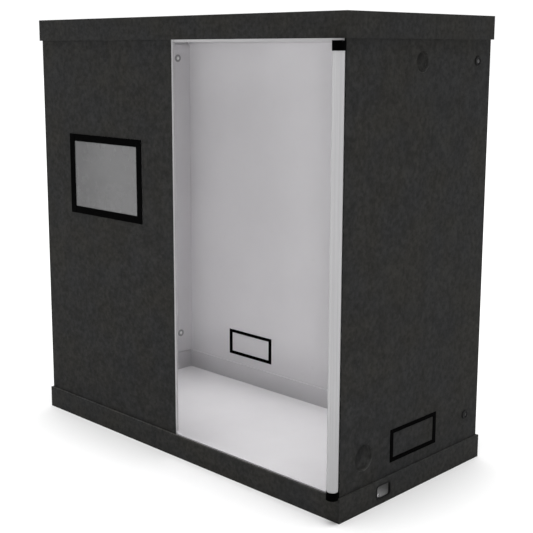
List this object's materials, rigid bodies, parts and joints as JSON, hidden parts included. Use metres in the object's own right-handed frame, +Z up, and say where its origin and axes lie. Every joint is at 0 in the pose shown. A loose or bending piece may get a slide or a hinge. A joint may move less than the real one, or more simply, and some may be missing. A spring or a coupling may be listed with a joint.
{
  "type": "printer enclosure",
  "caption": "Upright box enclosure for a desktop printer: slotted walls between a slip-on lid and a tray, a window, a roll-up clear door, flap ports, knock-outs and a cable port.",
  "frame": {"origin": "centre of the cabinet's underside, measured over the tray's turned edge", "axes": "+Z up, +Y to the rear wall, +X to the wall beside the doorway, so the front faces -Y"},
  "size_m": [0.9922, 0.5198, 1],
  "materials": {
    "white_board": "smooth white foamed board, matt",
    "charcoal_skin": "charcoal skin with a fine felt-like mottle",
    "black_tape": "black woven edging tape",
    "clear_film": "clear flexible film with a faint grey tint",
    "rolled_film": "many layers of clear film, milky where they lie together",
    "black_rubber": "moulded black liner",
    "grey_rubber": "thin moulded sheet, mid grey",
    "grey_plastic": "moulded nylon, dark grey",
    "white_plastic": "moulded nylon, white"
  },
  "bodies": {
    "cabinet": {"base_floor": "white_board", "base_edge": "white_board", "base_bottom_skin": "charcoal_skin", "base_edge_skin": "charcoal_skin", "tray_inner_rim": "white_board", "left_wall": "white_board", "left_wall_skin": "charcoal_skin", "right_wall": "white_board", "right_wall_skin": "charcoal_skin", "rear_wall": "white_board", "rear_wall_skin": "charcoal_skin", "front_wall": "white_board", "front_wall_skin": "charcoal_skin", "jamb_closing_strip": "white_board", "window_pane": "clear_film", "window_border": "black_tape", "side_port_frame": "black_tape", "rear_port_frame": "black_tape", "cable_port_grommet": "black_rubber", "cable_port_membrane": "grey_rubber", "left_rivet_studs": "grey_plastic", "left_rivet_caps": "white_plastic", "right_rivet_studs": "grey_plastic", "right_rivet_caps": "white_plastic", "door_film_tail": "clear_film", "door_anchor_strip": "black_tape"},
    "lid": {"lid_board": "white_board", "lid_edge": "white_board", "lid_skin": "charcoal_skin", "lid_inner_rim": "white_board"},
    "side_hatch": {"side_flap": "white_board", "side_flap_skin": "charcoal_skin"},
    "rear_hatch": {"rear_flap": "white_board", "rear_flap_skin": "charcoal_skin"},
    "upper_knockout": {"upper_plug": "white_board", "upper_plug_dish": "charcoal_skin"},
    "lower_knockout": {"lower_plug": "white_board", "lower_plug_dish": "charcoal_skin"},
    "door_core": {"door_core_rod": "grey_plastic"},
    "door_roll": {"door_film_roll": "rolled_film", "door_bottom_band": "black_tape", "door_top_band": "black_tape"}
  },
  "joints": [
    {"name": "lid_lift", "type": "slide", "parent": "cabinet", "child": "lid", "axis": [0, 0, 1], "range_m": [0, 0.08]},
    {"name": "side_flap_hinge", "type": "hinge", "parent": "cabinet", "child": "side_hatch", "pos_m": [0.49, 0, 0.1407], "axis": [0, -1, 0], "range_deg": [0, 100]},
    {"name": "rear_flap_hinge", "type": "hinge", "parent": "cabinet", "child": "rear_hatch", "pos_m": [-0.2385, 0.2435, 0.1407], "axis": [1, 0, 0], "range_deg": [0, 100]},
    {"name": "upper_plug_pull", "type": "slide", "parent": "cabinet", "child": "upper_knockout", "axis": [1, 0, 0], "range_m": [0, 0.02]},
    {"name": "lower_plug_pull", "type": "slide", "parent": "cabinet", "child": "lower_knockout", "axis": [1, 0, 0], "range_m": [0, 0.02]},
    {"name": "door_travel", "type": "slide", "parent": "cabinet", "child": "door_core", "axis": [-1, 0, 0], "range_m": [0, 0.5]},
    {"name": "door_roll_turn", "type": "hinge", "parent": "door_core", "child": "door_roll", "pos_m": [0.4842, -0.2583, 0.4995], "axis": [0, 0, 1], "range_deg": [-2430, 0]}
  ],
  "couplings": [
    {"joint": "door_roll_turn", "follows": "door_travel", "rad_per_m": -84.746}
  ]
}
